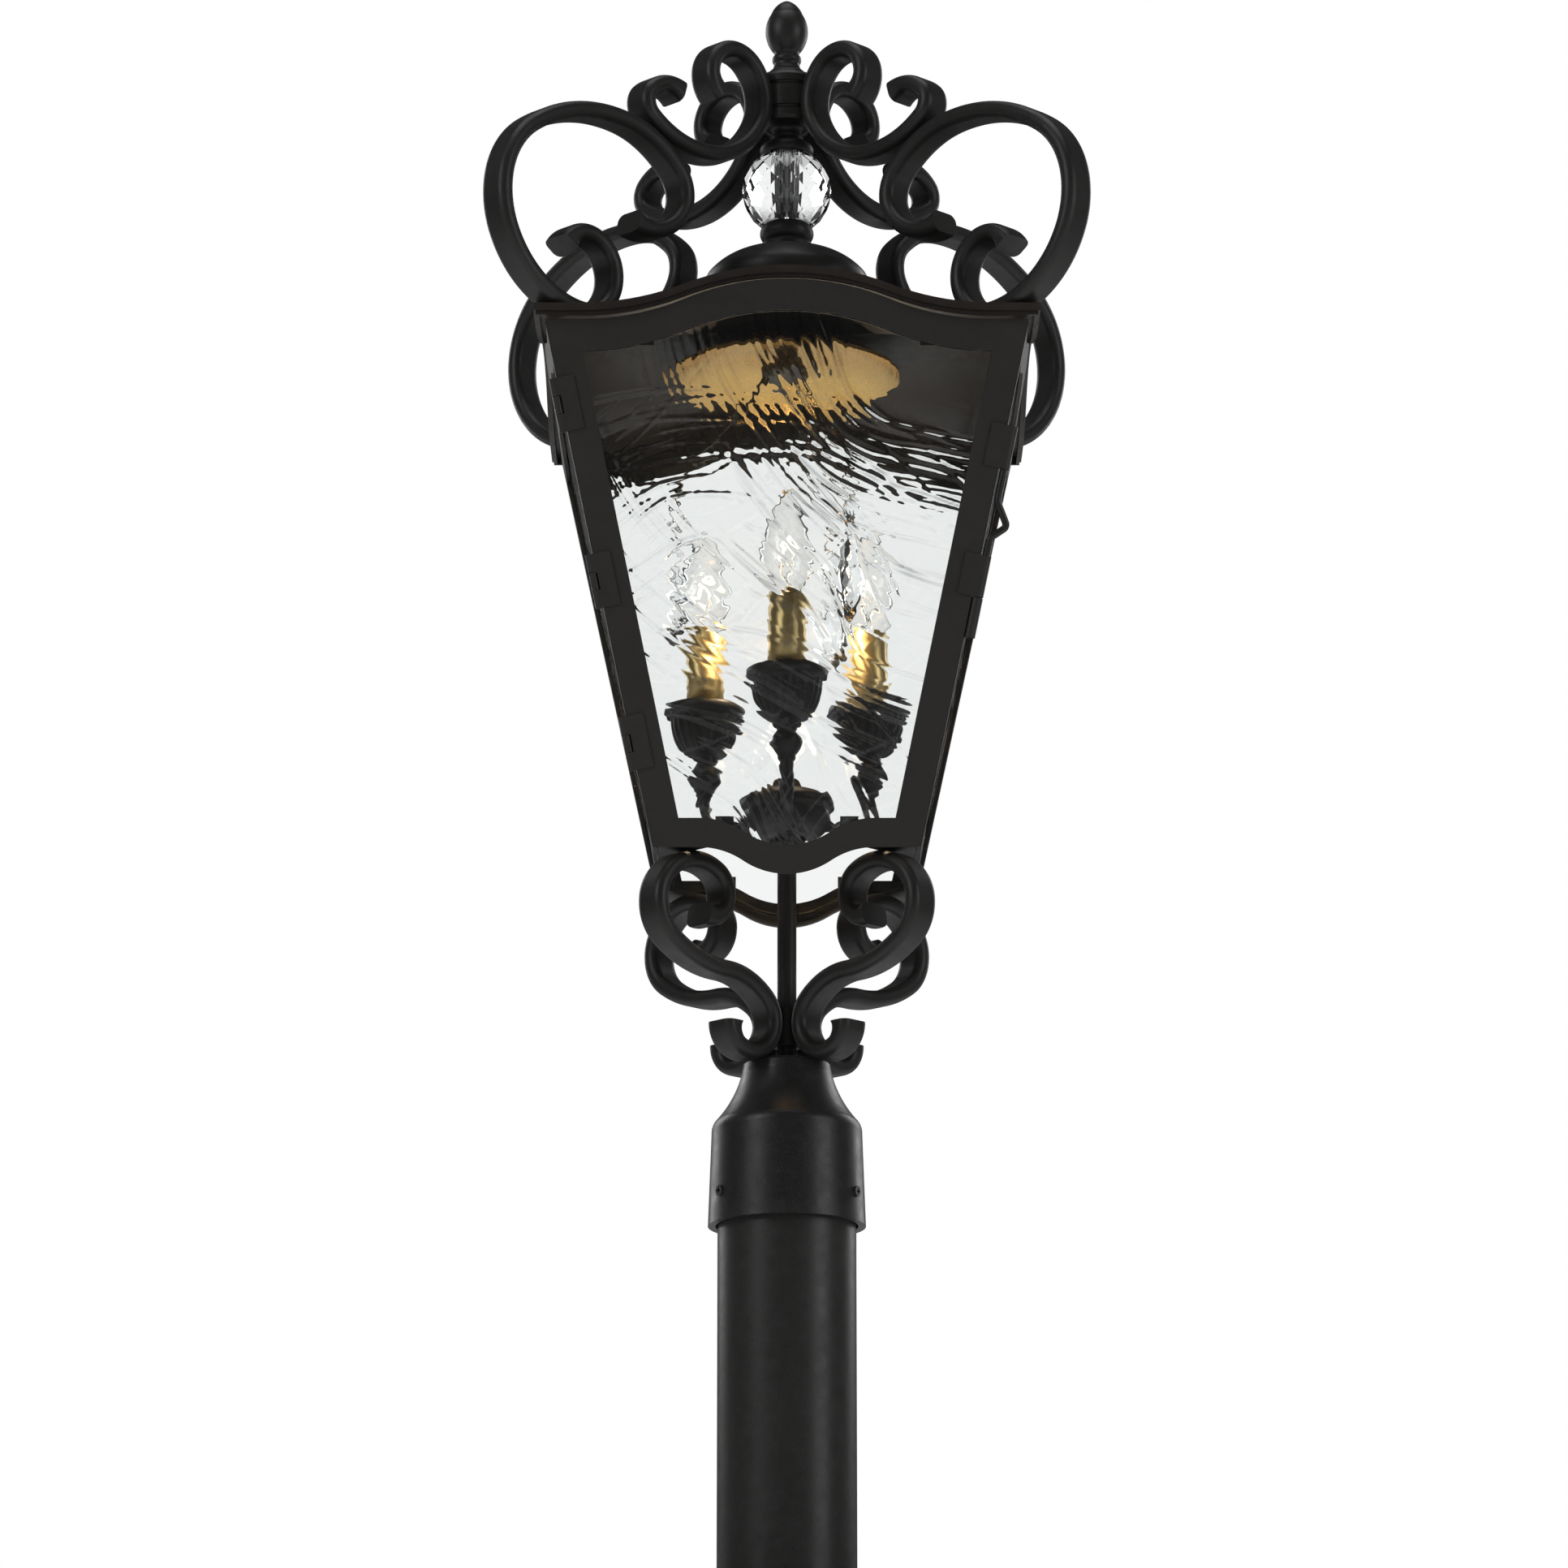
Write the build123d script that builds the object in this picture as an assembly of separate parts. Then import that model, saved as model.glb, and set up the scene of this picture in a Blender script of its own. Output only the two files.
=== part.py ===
from build123d import *
from math import atan, cos, degrees, radians, sin, tan
import os

# Post-top lantern on a 3 inch post. Millimetres, +Z up, door towards -Y.
# Every height below is measured from the lower rim of the post fitter; the
# finished pieces are lifted by RIM so that the foot of the post stands on z = 0.

RIM = 236.0               # height of the fitter's lower rim above the ground

# post and foot
POST_R, POST_WALL, POST_TOP = 38.1, 3.0, 48.0
FOOT_R, FOOT_T, FOOT_BOLT_R, FOOT_HOLE_R, CABLE_HOLE_R = 100.0, 8.0, 80.0, 6.0, 28.0

# post fitter, rod and hub
NECK_TOP, NECK_R = 91.5, 24.0
FITTER_BORE_R, FITTER_BORE_TOP = 39.2, 52.0
SCREW_H, SCREW_R, SCREW_ANGLES = 16.0, 3.0, (-28.0, 92.0, 212.0)
ROD_R, ROD_LOW, HUB_LOW, HUB_SOCKET_TOP = 5.3, 55.0, 214.0, 226.0
NUT_AF, NUT_T = 16.0, 6.0

# cage: four leaning faces, an upside-down pyramid
LOW_H, LOW_HALF = 196.6, 72.7
TOP_H, TOP_HALF = 479.4, 132.2
STRIP, SHEET, GLASS_T = 16.8, 1.6, 3.0
DOOR_DEPTH, JAMB_BACK = 6.0, 7.0
WAVE_FLAT, WAVE_RISE = 112.0, 21.9          # ogee edge of roof and top rails
SILL_FLAT, SILL_DIP = 48.0, 14.3            # ogee edge of the bottom rails
RAIL_TOP_H, RAIL_LOW_H = 16.8, 15.6

# roof
ROOF_HALF, ROOF_H, LIP, BAND, BAND_INSET, ROOF_RIM = 138.5, 486.8, 4.4, 2.2, 1.2, 3.2

# scroll bar section
BAR_W, BAR_T, BAR_ROUND, TIP_T, TIP_LENGTH = 19.0, 9.6, 4.5, 13.4, 15.0

# stack above the roof, all threaded on one spindle
SPINDLE_R = 3.2
COLLAR_LOW, BALL_LOW, BALL_TOP, BALL_R, BALL_FLAT_R = 563.7, 580.5, 622.0, 25.6, 15.0
COLUMN_TOP, FINIAL_TOP = 684.0, 717.5
DISH_H, DISH_R, DISH_DEPTH, SPIDER_H = 489.0, 64.5, 14.0, 489.5

# candle lights and crystals
CANDLE_R, CANDLE_ANGLES = 53.6, (270.0, 30.0, 150.0)
PENDANT_R, PENDANT_H, PENDANT_ANGLES = 62.0, 416.0, (184.0, 304.0, 64.0)
EYE_R, EYE_WIRE, RING_R, RING_WIRE = 3.0, 0.6, 3.2, 0.5

# hinges and latch, measured along the door's edge from its lower corner
HINGE_AT, HINGE_LENGTH, HINGE_OUT, KNUCKLE_R, PIN_R = (57.5, 148.1, 246.7), 30.0, 2.6, 2.3, 1.1
LATCH_OUT, BARREL_R, BOLT_R, BOLT_LOW, BOLT_TOP = 3.4, 3.0, 2.0, 139.9, 233.0
BARRELS, KEEPER = ((139.4, 162.4), (211.0, 235.0)), (116.9, 138.9)
LOOP_LOW, LOOP_MID, LOOP_TOP, LOOP_OUT = 172.5, 180.5, 193.0, 8.0
FIT, LEAF_T = 0.05, 1.0
HINGE_DEPTH, LATCH_DEPTH = LEAF_T - KNUCKLE_R, LEAF_T - BARREL_R

LEAN = atan((TOP_HALF - LOW_HALF) / (TOP_H - LOW_H))
EDGE = degrees(atan(sin(LEAN)))
SKEW = degrees(sin(LEAN) ** 2)              # neighbouring faces stand this far off square
DOOR_V = (TOP_H - LOW_H) / cos(LEAN)
FRONT = Plane(origin=(0, -LOW_HALF, LOW_H), x_dir=(1, 0, 0), z_dir=(0, -cos(LEAN), -sin(LEAN)))


# ---------- helpers ----------

def turned(points):
    """Solid of revolution about Z from (radius, height) points.

    A plain point is reached by a straight line, a pair of points by an arc
    that passes the first and ends at the second.
    """
    here, edges = points[0], []
    for step in points[1:]:
        if isinstance(step[0], tuple):
            edges.append(ThreePointArc(here, step[0], step[1]))
            here = step[1]
        else:
            edges.append(Line(here, step))
            here = step
    edges.append(Line(here, points[0]))
    return revolve(Plane.XZ.location * Face(Wire(edges)), Axis.Z)


def ring_of(piece, angles):
    """The same piece turned to each angle about Z."""
    return [Rot(0, 0, angle) * piece for angle in angles]


def main_solid(shape):
    """The largest solid, without the slivers a cut leaves behind."""
    return max(shape.solids(), key=lambda solid: solid.volume)


def half_at(v):
    """Half width of a cage face at the distance v up its slope."""
    return LOW_HALF + v * sin(LEAN)


def under_wave(y, flat, rise, reach, floor):
    """Face between a level floor and an ogee edge: flat ends, S curves, crown in the middle."""
    points = [(-flat, y), (-flat / 2, y + rise / 2), (0, y + rise), (flat / 2, y + rise / 2), (flat, y)]
    edges = [Line((-reach, y), points[0])]
    tangent = (1, 0)
    for start, end in zip(points, points[1:]):
        arc = TangentArc(start, end, tangent=tangent)
        tangent = arc % 1
        edges.append(arc)
    edges += [Line(points[-1], (reach, y)), Line((reach, y), (reach, floor)),
              Line((reach, floor), (-reach, floor)), Line((-reach, floor), (-reach, y))]
    return Face(Wire(edges))


def trapezoid(inset_left, inset_right, low, high):
    """Face between the sloping edges of a cage face, moved in by the insets."""
    corners = [(-half_at(low) + inset_left, low), (half_at(low) - inset_right, low),
               (half_at(high) - inset_right, high), (-half_at(high) + inset_left, high)]
    return make_face(Polyline(*corners, close=True))


def slope(height):
    """A height written as a distance up the leaning face."""
    return (height - LOW_H) / cos(LEAN)


def window(top_drop, low_rise, reach=160):
    """Face between the lower and the upper ogee edge of a cage face, in its own plane."""
    upper = under_wave(slope(TOP_H - top_drop), WAVE_FLAT, WAVE_RISE / cos(LEAN), reach, -60)
    lower = under_wave(slope(LOW_H + low_rise), SILL_FLAT, -SILL_DIP / cos(LEAN), reach, -60)
    return upper - lower


def panel_frame(inset_left, inset_right, strip, back, thick):
    """Flat frame of a fixed cage face, in the front face's place."""
    outer = trapezoid(inset_left, inset_right, -40, 330) & window(-0.9, 2.0)
    inner = trapezoid(inset_left + strip, inset_right + strip, -40, 330) & window(RAIL_TOP_H, RAIL_LOW_H)
    return FRONT.location * Pos(0, 0, back) * extrude(outer - inner, thick)


def pane(inset_left, inset_right, back):
    """Glass sheet behind a frame."""
    sheet = trapezoid(inset_left, inset_right, -40, 330) & window(6.0, 8.0)
    return FRONT.location * Pos(0, 0, back) * extrude(sheet, GLASS_T)


# ---------- scrolls ----------

def bar_section(where, thick, shift):
    """Rounded flat-bar section square to the path, its wide side across the scroll's plane."""
    return where * Pos(0, shift) * RectangleRounded(BAR_W, thick, BAR_ROUND)


def frame_on(origin, heading):
    """Section plane at a point of a scroll: local y points to the left of the heading."""
    a = radians(heading)
    return Plane(origin=(origin.X, origin.Y, 0), x_dir=(0, 0, 1), z_dir=(cos(a), sin(a), 0))


def snub(origin, heading, radius, forward):
    """Thickened end of a scroll: sections grow towards the inside of the curl."""
    side = 1 if radius > 0 else -1
    r, sections = abs(radius), []
    centre = Vector(origin.X, origin.Y) + side * r * Vector(-sin(radians(heading)), cos(radians(heading)))
    for step in range(4):
        turn = forward * side * degrees(TIP_LENGTH / r) * step / 3
        arm = (Vector(origin.X, origin.Y) - centre).rotate(Axis.Z, turn)
        thick = BAR_T + (TIP_T - BAR_T) * (step / 3) ** 1.5
        where = frame_on(centre + arm, heading + turn)
        sections.append(bar_section(where, thick, -side * (thick - BAR_T) / 2))
    return loft(sections)


def scroll(start, heading, bends):
    """Bar bent through tangent arcs in the XZ plane; each bend is (radius, degrees), left positive."""
    first_tip = degrees(TIP_LENGTH / abs(bends[0][0]))
    last_tip = degrees(TIP_LENGTH / abs(bends[-1][0]))
    point, direction, edges = Vector(*start), heading, []
    trimmed = [list(bend) for bend in bends]
    lead = JernArc(point, Vector(1, 0).rotate(Axis.Z, direction), abs(bends[0][0]),
                   first_tip * (1 if bends[0][0] > 0 else -1))
    point, direction = lead @ 1, direction + first_tip * (1 if bends[0][0] > 0 else -1)
    begin = (point, direction)
    trimmed[0][1] -= first_tip
    trimmed[-1][1] -= last_tip
    for radius, turn in trimmed:
        signed = turn if radius > 0 else -turn
        arc = JernArc(point, Vector(1, 0).rotate(Axis.Z, direction), abs(radius), signed)
        edges.append(arc)
        point, direction = arc @ 1, direction + signed
    path = Wire(edges)
    bar = sweep(bar_section(frame_on(*begin), BAR_T, 0), path=path)
    bar += snub(*begin, bends[0][0], -1)
    bar += snub(point, direction, bends[-1][0], 1)
    return Plane.XZ.location * bar


def make_scrolls():
    """Big loops on the roof corners, small scrolls round the column, foot scrolls under the cage."""
    big = scroll((125, 549), 192, [(-35, 71), (-20, 76), (-65, 40), (-103, 42), (-53, 79),
                                   (-60, 63), (-25, 91), (-21, 65), (-20, 82)])
    small = scroll((59, 643), 40, [(17, 101), (21, 87), (28, 69), (55, 57), (61, 42), (10, 100), (24, 60)])
    foot = scroll((68, 163), 189, [(-14.6, 162), (-30.6, 85), (-23, 88), (-71, 35), (44, 43),
                                   (18, 166), (14, 62)])
    return big, small, foot


# ---------- post and fitter ----------

def make_post():
    tube = Cylinder(POST_R, RIM + POST_TOP - FOOT_T, align=(Align.CENTER, Align.CENTER, Align.MIN))
    tube -= Cylinder(POST_R - POST_WALL, RIM + POST_TOP, align=(Align.CENTER, Align.CENTER, Align.MIN))
    return Pos(0, 0, FOOT_T - RIM) * tube


def make_foot():
    disc = turned([(CABLE_HOLE_R, 0), (FOOT_R - 1, 0), (FOOT_R, 1), (FOOT_R, FOOT_T - 2),
                   (FOOT_R - 2, FOOT_T), (CABLE_HOLE_R, FOOT_T)])
    for hole in ring_of(Pos(FOOT_BOLT_R, 0, 0) * Cylinder(FOOT_HOLE_R, 3 * FOOT_T), (45, 135, 225, 315)):
        disc -= hole
    return Pos(0, 0, -RIM) * disc


def make_fitter():
    body = turned([(FITTER_BORE_R, 0), (43.4, 0), (41.5, 52), ((40.9, 55.6), (38.6, 59)),
                   ((29.6, 72.5), (24.9, 85)), (NECK_R, NECK_TOP - 1.5), (NECK_R - 1.5, NECK_TOP),
                   (ROD_R, NECK_TOP), (ROD_R, 62), (16, 62), (FITTER_BORE_R - 4, FITTER_BORE_TOP),
                   (FITTER_BORE_R, FITTER_BORE_TOP - 2)])
    for hole in ring_of(Pos(40, 0, SCREW_H) * Rot(0, 90, 0) * Cylinder(SCREW_R, 20), SCREW_ANGLES):
        body -= hole
    return body


def make_set_screws():
    shank = Pos(POST_R + 3, 0, 0) * Rot(0, 90, 0) * Cylinder(SCREW_R, 6)
    for angle in (0, 90):
        shank -= Pos(POST_R + 6, 0, 0) * Rot(angle, 0, 0) * Box(4, 3.6, 0.9)
    return ring_of(Pos(0, 0, SCREW_H) * shank, SCREW_ANGLES)


def make_rod():
    return turned([(0, ROD_LOW), (ROD_R, ROD_LOW), (ROD_R, HUB_SOCKET_TOP), (0, HUB_SOCKET_TOP)])


def hex_nut(low, high, bore):
    nut = extrude(RegularPolygon(NUT_AF / 2, 6, major_radius=False), high - low)
    nut -= Cylinder(bore, 4 * NUT_T)
    return Pos(0, 0, low) * nut


def make_nuts():
    """Nut under the fitter's neck and nuts below and above the reflector."""
    dish_top = DISH_H + DISH_DEPTH
    return [hex_nut(ROD_LOW + 1, ROD_LOW + 1 + NUT_T, ROD_R), hex_nut(dish_top - NUT_T, dish_top, SPINDLE_R),
            hex_nut(dish_top + 1.2, ROOF_H + WAVE_RISE - SHEET, SPINDLE_R)]


def make_scroll_collar():
    return turned([(ROD_R, 100), (7.6, 100), (8.2, 101), (8.2, 121), (7.6, 122), (ROD_R, 122)])


# ---------- roof ----------

def vault(half, drop):
    """Block under a groin vault: the ogee edge runs along X and along Y."""
    face = under_wave(ROOF_H - drop, WAVE_FLAT, WAVE_RISE, half, ROOF_H - 60)
    along = Plane.XZ.location * extrude(face, half, both=True)
    return along + Rot(0, 0, 90) * along


def make_roof():
    shell = vault(ROOF_HALF, 0) - vault(ROOF_HALF + 5, LIP)
    band = vault(ROOF_HALF - BAND_INSET, LIP) - vault(ROOF_HALF + 5, LIP + BAND)
    hollow = vault(ROOF_HALF - ROOF_RIM, SHEET)
    return shell + band - hollow - Pos(0, 0, ROOF_H) * Cylinder(SPINDLE_R, 80)


def make_roof_crown():
    """Spun bell that stands on the middle of the vault."""
    low = ROOF_H + WAVE_RISE
    bell = turned([(SPINDLE_R, low + 32), (44, low + 32), ((45.2, low + 27), (46, low + 20)),
                   ((49.5, low + 9), (58, low + 3)), (58, low - 16), (56.4, low - 16), (56.4, low + 1.6),
                   ((48, low + 8.2), (44.4, low + 20)), (43.4, low + 30.4), (SPINDLE_R, low + 30.4)])
    return bell - vault(ROOF_HALF, 0)


def make_dome_cap():
    low = ROOF_H + WAVE_RISE + 32
    return turned([(SPINDLE_R, low + 21.4), (14, low + 21.2), ((32.4, low + 16.8), (43.6, low + 8)),
                   (45.2, low), (46.8, low), ((47.1, low + 4), (45.6, low + 8.5)),
                   ((33.5, low + 18.4), (15.5, low + 22.8)), (14.5, low + 23), (SPINDLE_R, low + 23)])


# ---------- stack above the roof ----------

def make_lower_collar():
    return turned([(SPINDLE_R, COLLAR_LOW), (14.6, COLLAR_LOW), (14.6, 567), ((14.3, 569.2), (12.9, 570.4)),
                   ((15.3, 574.5), (13.8, 579.5)), (12.8, BALL_LOW), (SPINDLE_R, BALL_LOW)])


def make_crystal_ball():
    """Faceted sphere with flat ends, bored for its tube."""
    sides, centre = 16, (BALL_LOW + BALL_TOP) / 2
    rings = []
    for step in range(7):
        height = BALL_LOW + (BALL_TOP - BALL_LOW) * (0.5 - 0.5 * cos(radians(30 * step)))
        radius = max((BALL_R ** 2 - (height - centre) ** 2) ** 0.5, BALL_FLAT_R)
        rings.append(Pos(0, 0, height) * RegularPolygon(radius, sides))
    return loft(rings, ruled=True) - Pos(0, 0, centre) * Cylinder(SPINDLE_R + 1.8, 60)


def make_crystal_tube():
    return turned([(SPINDLE_R, BALL_LOW), (SPINDLE_R + 1.7, BALL_LOW), (SPINDLE_R + 1.7, BALL_TOP),
                   (SPINDLE_R, BALL_TOP)])


def make_column():
    """Flange, waist, boss that carries the small scrolls, ring and flared neck."""
    return turned([(SPINDLE_R, BALL_TOP), (13.4, BALL_TOP), ((15.4, 625.5), (12.4, 629.8)),
                   ((9.2, 631.2), (9.0, 634)), ((9.4, 637.5), (13, 639)), (17.6, 640),
                   (18.9, 642), (18.9, 646),
                   ((17.7, 647.2), (18.9, 648.4)), (18.9, 660.6), ((17.7, 661.8), (18.9, 663)),
                   (18.9, 667), (17.6, 669), (12, 669.6), ((11.2, 672.4), (9.8, 674)),
                   ((7.9, 676.2), (7.4, 679)),
                   ((8.4, 681.5), (7.2, COLUMN_TOP)), (SPINDLE_R, COLUMN_TOP)])


def make_finial():
    return turned([(0, COLUMN_TOP), (6.6, COLUMN_TOP), (7.4, 686), ((12.2, 697.5), (9.2, 709)),
                   ((5.9, 714.4), (1.4, FINIAL_TOP)), (0, FINIAL_TOP)])


def make_spindle():
    return turned([(0, SPIDER_H), (SPINDLE_R, SPIDER_H), (SPINDLE_R, COLUMN_TOP - 1), (0, COLUMN_TOP - 1)])


def make_dish():
    """Thin spun reflector, rim down, held under the crown by a nut."""
    top = DISH_H + DISH_DEPTH
    return turned([(SPINDLE_R, top), (18, top), ((44, top - 2.5), (DISH_R, DISH_H)),
                   (DISH_R, DISH_H + 2.2), (DISH_R - 1.4, DISH_H + 2.2),
                   ((43.5, top - 1), (18, top + 1.2)), (SPINDLE_R, top + 1.2)])


# ---------- candle cluster ----------

def make_hub():
    return turned([(ROD_R, HUB_LOW), (8, HUB_LOW), ((9.8, 216), (8.6, 218)), ((19.5, 221.5), (25.2, 234)),
                   (26.5, 236), ((27.2, 238.5), (26.3, 241)), ((17, 245.6), (10, 247)), (8, 250),
                   ((5.6, 253.2), (1.5, 254)), (0, 254), (0, HUB_SOCKET_TOP), (ROD_R, HUB_SOCKET_TOP)])


def make_arm():
    reach, level, bend, stem = 24.0, 230.0, 13.0, 3.8
    low = Line((reach, level), (CANDLE_R - bend, level))
    curve = JernArc(low @ 1, low % 1, bend, 90)
    rise = Line(curve @ 1, (CANDLE_R, 250))
    path = Plane.XZ.location * Wire([low, curve, rise])
    return sweep(Plane(origin=path @ 0, z_dir=path % 0) * Circle(stem), path=path)


def make_cup():
    return turned([(0, 250), (4.4, 250), (5, 253), ((8.6, 261), (5, 268)), (7.6, 269.5), (7.6, 272),
                   (9, 273.2),
                   ((17.6, 278), (19.4, 290)), (20.6, 296), (22.9, 297), (22.9, 300.4), (21.4, 302.4),
                   (10.7, 302.4), (10.7, 297), (0, 297)])


def make_sleeve():
    return turned([(9.8, 297.05), (10.5, 297.05), (10.5, 344.4), (9.8, 344.4)])


def make_socket():
    return turned([(0, 297.05), (9.3, 297.05), (9.3, 341), (6.6, 341), (6.6, 330), (0, 330)])


def make_bulb():
    return turned([(0, 330.05), (6.2, 330.05), (6.2, 343), ((12.6, 353), (13.4, 366)),
                   ((9.4, 388), (4.2, 400)), ((2.6, 404), (0.6, 406.5)), (0, 406.5)])


def at_candles(piece):
    return ring_of(Pos(CANDLE_R, 0, 0) * piece, CANDLE_ANGLES)


# ---------- pendants ----------

def make_pendant_arm():
    """Thin bent rod from under the reflector to an eye that carries one pendant."""
    points = [(9, SPIDER_H + 3), (30, 462), (50, 440), (PENDANT_R, PENDANT_H + EYE_R)]
    path = Plane.XZ.location * FilletPolyline(*points, radius=14)
    rod = sweep(Plane(origin=path @ 0, z_dir=path % 0) * Circle(1.3), path=path)
    eye = Pos(PENDANT_R, 0, PENDANT_H) * Rot(90, 0, 0) * Torus(EYE_R, EYE_WIRE)
    return rod + eye - Pos(PENDANT_R, 0, PENDANT_H) * Rot(90, 0, 0) * Cylinder(EYE_R - EYE_WIRE, 6)


def make_pendant_spider():
    """Disc on the end of the spindle with three pendant arms."""
    disc = turned([(SPINDLE_R, SPIDER_H), (12, SPIDER_H), (13, SPIDER_H + 1), (13, SPIDER_H + 5),
                   (12, SPIDER_H + 6), (SPINDLE_R, SPIDER_H + 6)])
    for arm in ring_of(make_pendant_arm(), PENDANT_ANGLES):
        disc += arm
    return disc


def gem(low, high, widest, radius, flat):
    """Eight-sided crystal, pointed at both ends and flattened front to back."""
    levels = [(low, 0.08), (low + (widest - low) * 0.45, 0.62), (widest, 1.0),
              (widest + (high - widest) * 0.55, 0.6), (high, 0.2)]
    rings = [Pos(0, 0, level) * RegularPolygon(radius * share, 8) for level, share in levels]
    return scale(loft(rings, ruled=True), by=(flat, 1, 1))


def make_pendant():
    """Wire ring, link, bead, link and drop, hanging under the eye."""
    ring_h = PENDANT_H - EYE_R + EYE_WIRE + RING_WIRE + 0.1 - RING_R
    ring = Pos(0, 0, ring_h) * Rot(0, 90, 0) * Torus(RING_R, RING_WIRE)
    wire = Pos(0, 0, ring_h - RING_R) * Cylinder(0.6, 22, align=(Align.CENTER, Align.CENTER, Align.MAX))
    bead = gem(392, 402, 397, 4.6, 0.8)
    drop = gem(330, 386, 350, 8.2, 0.6)
    hook = ring + wire - bead - drop
    return [Pos(PENDANT_R, 0, 0) * piece for piece in [*hook.solids(), bead, drop]]


# ---------- door, hinges, latch ----------

def make_stile(side):
    """Square-cut door stile with a folded outer edge; side is -1 left, 1 right."""
    def strip(near, far):
        left, right = sorted((side * near, side * far))
        shift = side * sin(LEAN) * DOOR_V
        corners = [(left, 0), (right, 0), (right + shift, DOOR_V), (left + shift, DOOR_V)]
        return make_face(Polyline(*corners, close=True))
    face = Pos(0, 0, -SHEET) * extrude(strip(LOW_HALF - STRIP, LOW_HALF), SHEET)
    fold = Pos(0, 0, -DOOR_DEPTH) * extrude(strip(LOW_HALF - SHEET, LOW_HALF), DOOR_DEPTH)
    return FRONT.location * (face + fold)


def make_door_rail(upper):
    between = trapezoid(STRIP, STRIP, -40, 330)
    strip = window(0, 0) - window(RAIL_TOP_H if upper else 0, 0 if upper else RAIL_LOW_H)
    strip = [f for f in (between & strip).faces()]
    return FRONT.location * Pos(0, 0, -SHEET) * extrude(strip[0], SHEET)


def edge_frame(side, out, depth):
    """Local frame on a door edge: y up the edge, x to the right, z out of the door."""
    return FRONT.location * Pos(side * (LOW_HALF + out), 0, depth) * Rot(0, 0, -side * EDGE)


def tube_along(low, high, radius, bore):
    """Tube round the local y axis."""
    shape = Cylinder(radius, high - low)
    if bore:
        shape -= Cylinder(bore, high - low + 2)
    return Pos(0, (low + high) / 2, 0) * Rot(90, 0, 0) * shape


def slab(x0, x1, y0, y1, z0, z1):
    return Pos((x0 + x1) / 2, (y0 + y1) / 2, (z0 + z1) / 2) * Box(abs(x1 - x0), abs(y1 - y0), abs(z1 - z0))


def make_hinges():
    """Door leaves with outer knuckles, cage leaves with the middle knuckle, and pins."""
    door_leaves, cage_leaves, pins = [], [], []
    third, gap, leaf_w = HINGE_LENGTH / 3, 0.15, 9.0
    place = edge_frame(-1, HINGE_OUT, HINGE_DEPTH)
    for middle in HINGE_AT:
        low, high = middle - HINGE_LENGTH / 2, middle + HINGE_LENGTH / 2
        leaf = slab(0, HINGE_OUT + leaf_w, low, high, KNUCKLE_R - LEAF_T, KNUCKLE_R)
        leaf -= slab(-4, KNUCKLE_R + 0.2, low + third - gap, high - third + gap, -4, 4)
        for a, b in ((low, low + third - gap), (high - third + gap, high)):
            leaf += tube_along(a, b, KNUCKLE_R, 0)
        leaf -= tube_along(low - 1, high + 1, PIN_R + FIT, 0)
        door_leaves.append(place * leaf)
        leaf = tube_along(low + third + gap, high - third - gap, KNUCKLE_R, 0)
        plate = slab(HINGE_OUT - 1.4, HINGE_OUT - 0.4, low + third + gap, high - third - gap, -14, 0)
        leaf += Rot(0, SKEW, 0) * plate
        leaf -= tube_along(low - 1, high + 1, PIN_R, 0)
        cage_leaves.append(place * leaf)
        pins.append(place * tube_along(low, high, PIN_R, 0))
    return door_leaves, cage_leaves, pins


def make_latch():
    """Two guide barrels on the door, the sliding bolt with its finger loop, the keeper on the cage."""
    place = edge_frame(1, LATCH_OUT, LATCH_DEPTH)
    barrels = []
    for low, high in BARRELS:
        guide = slab(-LATCH_OUT - 8, 0, low, high, BARREL_R - LEAF_T, BARREL_R)
        guide += tube_along(low, high, BARREL_R, 0)
        barrels.append(place * (guide - tube_along(low - 1, high + 1, BOLT_R + FIT, 0)))
    bends = (0, BOLT_LOW), (0, LOOP_LOW), (LOOP_OUT, LOOP_MID), (0, LOOP_TOP), (0, BOLT_TOP)
    path = FilletPolyline(*bends, radius=3.2)
    bolt = sweep(Plane(origin=path @ 0, z_dir=path % 0) * Circle(BOLT_R), path=path)
    low, high = KEEPER
    keeper = tube_along(low, high, BARREL_R, 0)
    keeper += Rot(0, -SKEW, 0) * slab(-LATCH_OUT + 0.45, -LATCH_OUT + 1.6, low, high, -14, 0)
    keeper -= tube_along(low - 1, high + 1, BOLT_R + 0.4, 0)
    return barrels, place * bolt, place * keeper


def make_clips(back, turns):
    """Small tabs behind the rails that hold the glass."""
    tabs = []
    for u, v in ((-34, slope(LOW_H) + 11), (34, slope(LOW_H) + 11), (-78, DOOR_V - 8), (78, DOOR_V - 8)):
        tab = slab(u - 5, u + 5, v - 6, v + 6, back, back + 0.8)
        tabs += [Rot(0, 0, turn) * (FRONT.location * tab) for turn in turns]
    return tabs


def make_gussets():
    """Corner plates inside the bottom of the cage that the foot scrolls are welded to."""
    inner, leg, low = LOW_HALF - 2, 36, LOW_H + 2.4
    plate = make_face(Polyline((inner, inner), (inner - leg, inner), (inner, inner - leg), close=True))
    plate = Pos(0, 0, low) * extrude(plate, 2.3)
    behind_jamb = Pos(0, JAMB_BACK + 1, low) * Box(4 * inner, 2 * inner, 20)
    return [corner & behind_jamb for corner in ring_of(plate, (0, 90, 180, 270))]


# ---------- assembly ----------

SIDES = {"left": -90, "right": 90, "back": 180}
CORNERS = {"front_right": -45, "back_right": 45, "back_left": 135, "front_left": 225}


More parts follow.
